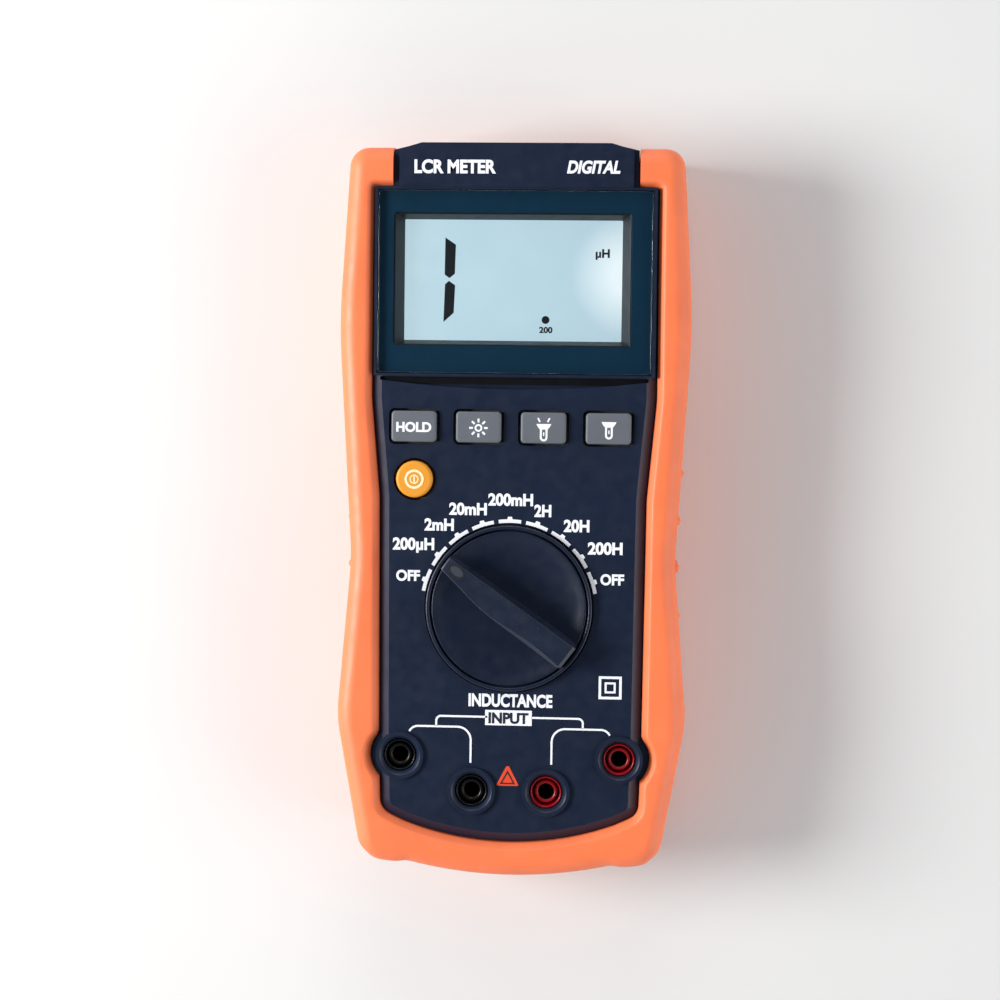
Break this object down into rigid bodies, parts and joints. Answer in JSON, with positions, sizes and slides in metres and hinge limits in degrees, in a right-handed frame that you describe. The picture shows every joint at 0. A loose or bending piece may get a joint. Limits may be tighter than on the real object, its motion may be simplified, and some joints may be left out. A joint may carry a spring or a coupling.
{
  "type": "lcr meter",
  "caption": "Handheld component meter in a rubber holster: backlit display, range dial, keys, shrouded 4 mm input jacks and a tilt stand.",
  "frame": {"origin": "on the resting plane, under the middle of the holster", "axes": "the meter lies on its back: +Z out of the panel, +Y towards the display end, +X to the right of the panel"},
  "size_m": [0.0896, 0.1866, 0.0425],
  "materials": {
    "holster_rubber": "matte",
    "case_plastic": "fine texture",
    "clear_window": "gloss",
    "mask_print": "gloss",
    "bezel_plastic": "satin",
    "lcd_face": "satin",
    "diffuser": "satin",
    "led_white": "gloss",
    "zebra_rubber": "matte",
    "board": "satin",
    "steel": "plated",
    "black_plastic": "matte",
    "capacitor_sleeve": "gloss",
    "fuse_ceramic": "gloss",
    "brass": "plated",
    "dial_plastic": "satin",
    "rotor_plastic": "satin",
    "key_plastic": "satin",
    "power_key_plastic": "satin",
    "jack_black": "satin",
    "jack_red": "satin",
    "battery_wrap": "satin",
    "lead_insulation": "satin",
    "stand_plastic": "satin",
    "plate_foil": "satin"
  },
  "bodies": {
    "housing": {"holster": "holster_rubber", "front_case": "case_plastic", "rear_case": "case_plastic", "display_window": "clear_window", "window_mask": "mask_print", "lcd_bezel": "bezel_plastic", "lcd_panel": "lcd_face", "backlight_diffuser": "diffuser", "backlight_leds": "led_white", "zebra_strips": "zebra_rubber", "main_board": "board", "board_screws": "steel", "meter_chip": "black_plastic", "crystal": "steel", "filter_capacitors": "capacitor_sleeve", "input_fuse": "fuse_ceramic", "fuse_clips": "brass", "key_switches": "black_plastic", "jack_tube_black_outer": "jack_black", "jack_tube_black_inner": "jack_black", "jack_tube_red_inner": "jack_red", "jack_tube_red_outer": "jack_red", "jack_sleeve_black_outer": "brass", "jack_sleeve_black_inner": "brass", "jack_sleeve_red_inner": "brass", "jack_sleeve_red_outer": "brass", "jack_board": "board", "board_link_pins": "brass", "torch_lens": "clear_window", "torch_led": "led_white", "battery": "battery_wrap", "battery_snap": "black_plastic", "battery_leads": "lead_insulation", "case_screws": "steel", "rating_plate": "plate_foil"},
    "dial": {"range_dial": "dial_plastic", "dial_rotor": "rotor_plastic", "rotor_wipers": "brass", "detent_springs": "steel", "detent_balls": "steel"},
    "hold_button": {"hold_key": "key_plastic", "hold_plunger": "black_plastic"},
    "backlight_button": {"backlight_key": "key_plastic", "backlight_plunger": "black_plastic"},
    "torch_on_button": {"torch_on_key": "key_plastic", "torch_on_plunger": "black_plastic"},
    "torch_off_button": {"torch_off_key": "key_plastic", "torch_off_plunger": "black_plastic"},
    "power_button": {"power_key": "power_key_plastic", "power_plunger": "black_plastic"},
    "stand": {"tilt_stand": "stand_plastic"},
    "battery_cover": {"battery_door": "case_plastic", "battery_door_screw": "steel"}
  },
  "joints": [
    {"name": "range_turn", "type": "hinge", "parent": "housing", "child": "dial", "pos_m": [-0.0005, -0.024, 0.035], "axis": [0, 0, 1], "range_deg": [-126, 18]},
    {"name": "hold_press", "type": "slide", "parent": "housing", "child": "hold_button", "axis": [0, 0, -1], "range_m": [0, 0.0008], "stiffness_N_per_m": 600},
    {"name": "backlight_press", "type": "slide", "parent": "housing", "child": "backlight_button", "axis": [0, 0, -1], "range_m": [0, 0.0008], "stiffness_N_per_m": 600},
    {"name": "torch_on_press", "type": "slide", "parent": "housing", "child": "torch_on_button", "axis": [0, 0, -1], "range_m": [0, 0.0008], "stiffness_N_per_m": 600},
    {"name": "torch_off_press", "type": "slide", "parent": "housing", "child": "torch_off_button", "axis": [0, 0, -1], "range_m": [0, 0.0008], "stiffness_N_per_m": 600},
    {"name": "power_press", "type": "slide", "parent": "housing", "child": "power_button", "axis": [0, 0, -1], "range_m": [0, 0.0008], "stiffness_N_per_m": 600},
    {"name": "stand_swing", "type": "hinge", "parent": "housing", "child": "stand", "pos_m": [0, 0.006, 0.0037], "axis": [1, 0, 0], "range_deg": [0, 50]},
    {"name": "cover_lift", "type": "slide", "parent": "housing", "child": "battery_cover", "axis": [0, 0, -1], "range_m": [0, 0.012]}
  ]
}
